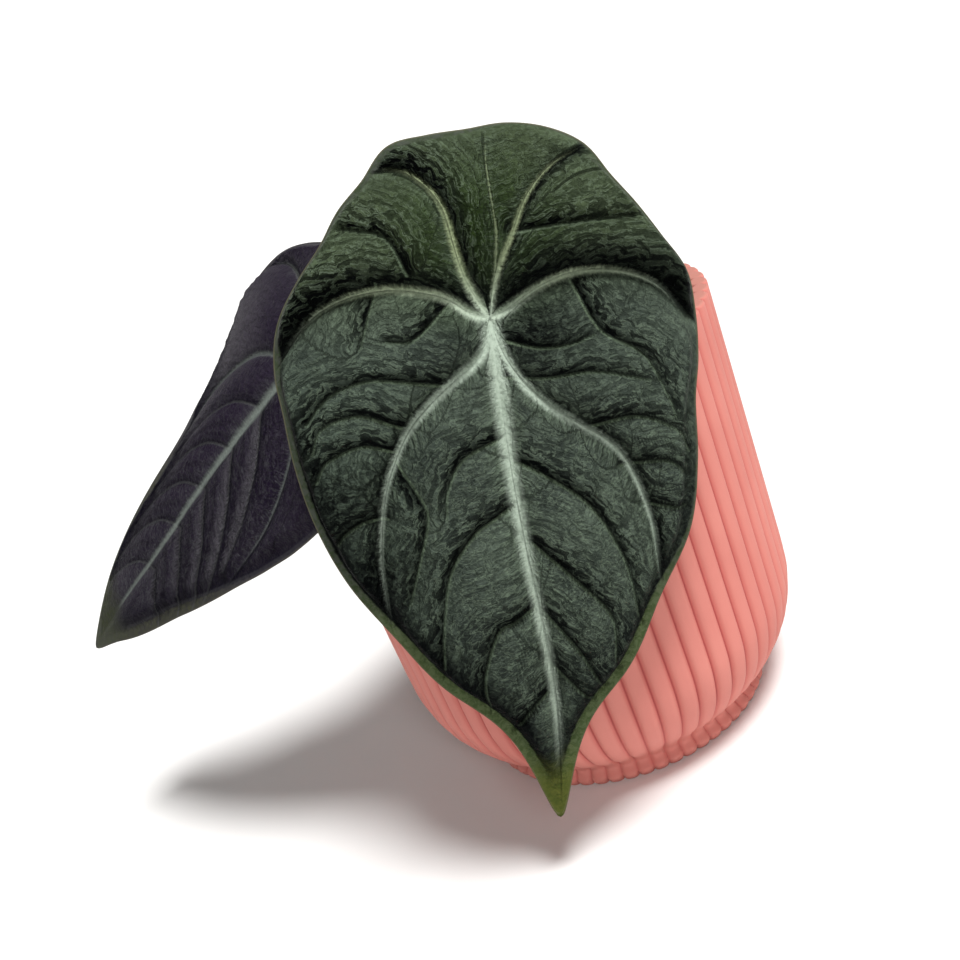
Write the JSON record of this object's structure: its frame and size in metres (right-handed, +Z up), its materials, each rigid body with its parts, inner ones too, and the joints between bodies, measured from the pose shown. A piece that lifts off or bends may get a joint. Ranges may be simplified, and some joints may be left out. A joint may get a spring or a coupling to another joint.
{
  "type": "potted alocasia plant",
  "caption": "Small aroid house plant in a ribbed round pot: quilted shield-shaped leaves on short curved stalks rise from a crown in potting soil.",
  "frame": {"origin": "centre of the pot's flat underside", "axes": "+Z up along the pot's axis, -Y towards the side where the front leaf hangs, +X to the right of someone who faces that leaf"},
  "size_m": [0.1878, 0.1231, 0.1651],
  "materials": {
    "pot": "matte",
    "soil": "matte",
    "crown": "matte",
    "stalk": "satin",
    "front_leaf": "satin",
    "side_leaf": "satin"
  },
  "bodies": {
    "root": {"pot": "pot", "soil": "soil", "crown": "crown", "front_stalk": "stalk", "side_stalk": "stalk", "front_blade": "front_leaf", "side_blade": "side_leaf"}
  },
  "joints": []
}
